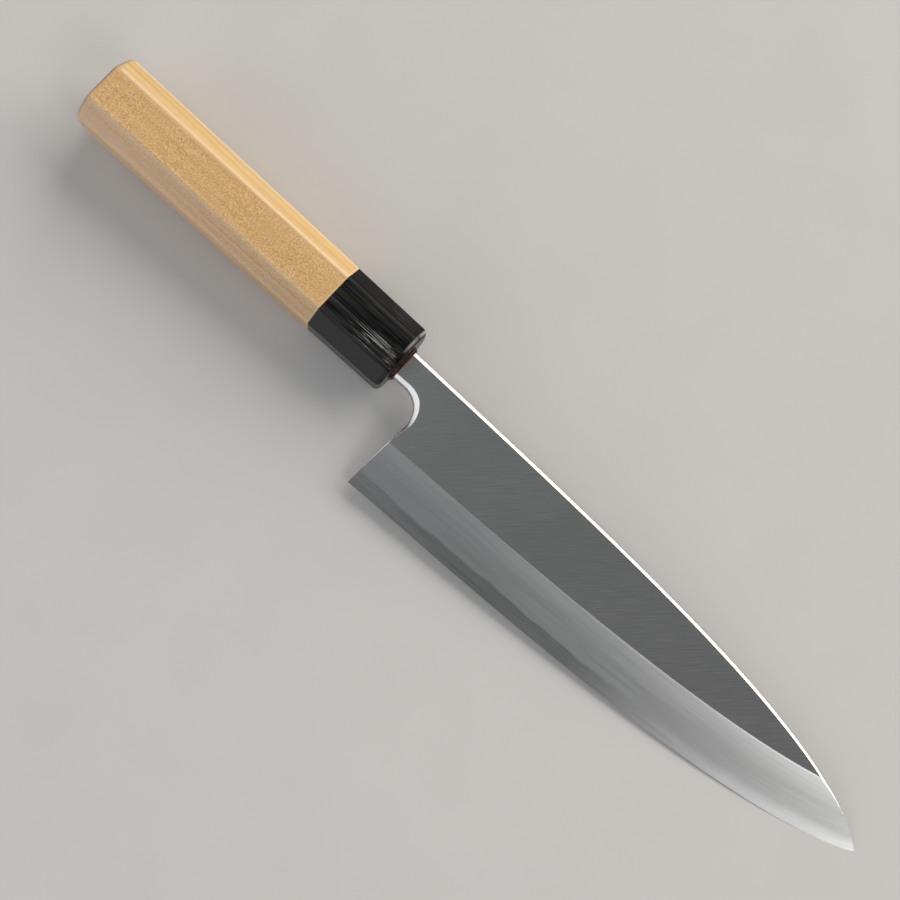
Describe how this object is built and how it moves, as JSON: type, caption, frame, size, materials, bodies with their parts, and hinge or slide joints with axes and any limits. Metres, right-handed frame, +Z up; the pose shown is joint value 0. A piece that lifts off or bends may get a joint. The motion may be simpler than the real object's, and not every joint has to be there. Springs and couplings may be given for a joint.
{
  "type": "deba knife",
  "caption": "Japanese single-bevel kitchen knife: laminated blade with a hollow-ground back, hidden tang, horn ferrule and octagonal wooden handle, for cutting up fish.",
  "frame": {"origin": "on the table under the middle of the knife's box, with the knife lying on its back as it rests by itself: on the ferrule's lower front corner and on the edge close to the point", "axes": "+X along the knife from the butt to the point, +Y to the spine, +Z up, out of the bevelled face"},
  "size_m": [0.3362, 0.052, 0.026],
  "materials": {
    "blade_iron": "satin, ground lines at a slant on the flat and lengthwise on the bevel, polished spine and finger notch",
    "edge_steel": "fine satin, a little darker than the iron above the weld line",
    "resin": "red-brown resin, glossy",
    "bedding": "dark resin, hidden in the handle",
    "horn": "black horn, satin polish with faint lengthwise streaks",
    "wood": "pale magnolia-like wood, oiled, fine straight grain with short flecks"
  },
  "bodies": {
    "root": {"blade_iron": "blade_iron", "edge_steel": "edge_steel", "mouth_seal": "resin", "tang_bedding": "bedding", "horn_ferrule": "horn", "handle_body": "wood"}
  },
  "joints": []
}
